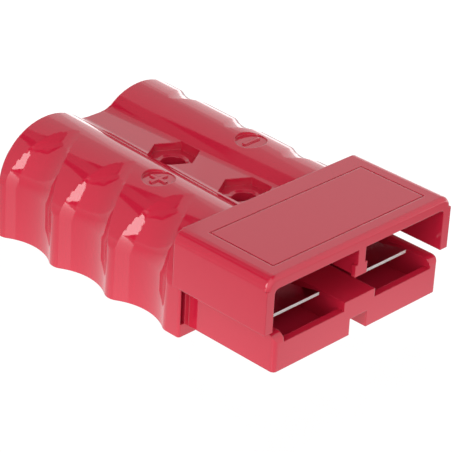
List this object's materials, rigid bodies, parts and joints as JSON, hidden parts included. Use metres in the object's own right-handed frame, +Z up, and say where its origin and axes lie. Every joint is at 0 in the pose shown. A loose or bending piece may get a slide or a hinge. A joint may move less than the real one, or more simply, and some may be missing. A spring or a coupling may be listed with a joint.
{
  "type": "genderless_power_connector",
  "caption": "Genderless high-current power connector housing with hooded mating front, leaf springs, scalloped finger-grip barrels, cable bores and through fixing holes",
  "frame": {"origin": "middle of the length and width, on the plane of the flat underside the connector lies on", "axes": "+Y runs from the hooded mating front to the cable end, +X to the side of the minus pole as seen from the front, +Z up out of the flat underside"},
  "size_m": [0.071, 0.105, 0.0323],
  "materials": {
    "housing": "gloss moulded red polycarbonate",
    "spring": "rolled stainless spring strip with sheared edges"
  },
  "bodies": {
    "root": {"housing": "housing", "spring_left": "spring", "spring_right": "spring"}
  },
  "joints": []
}
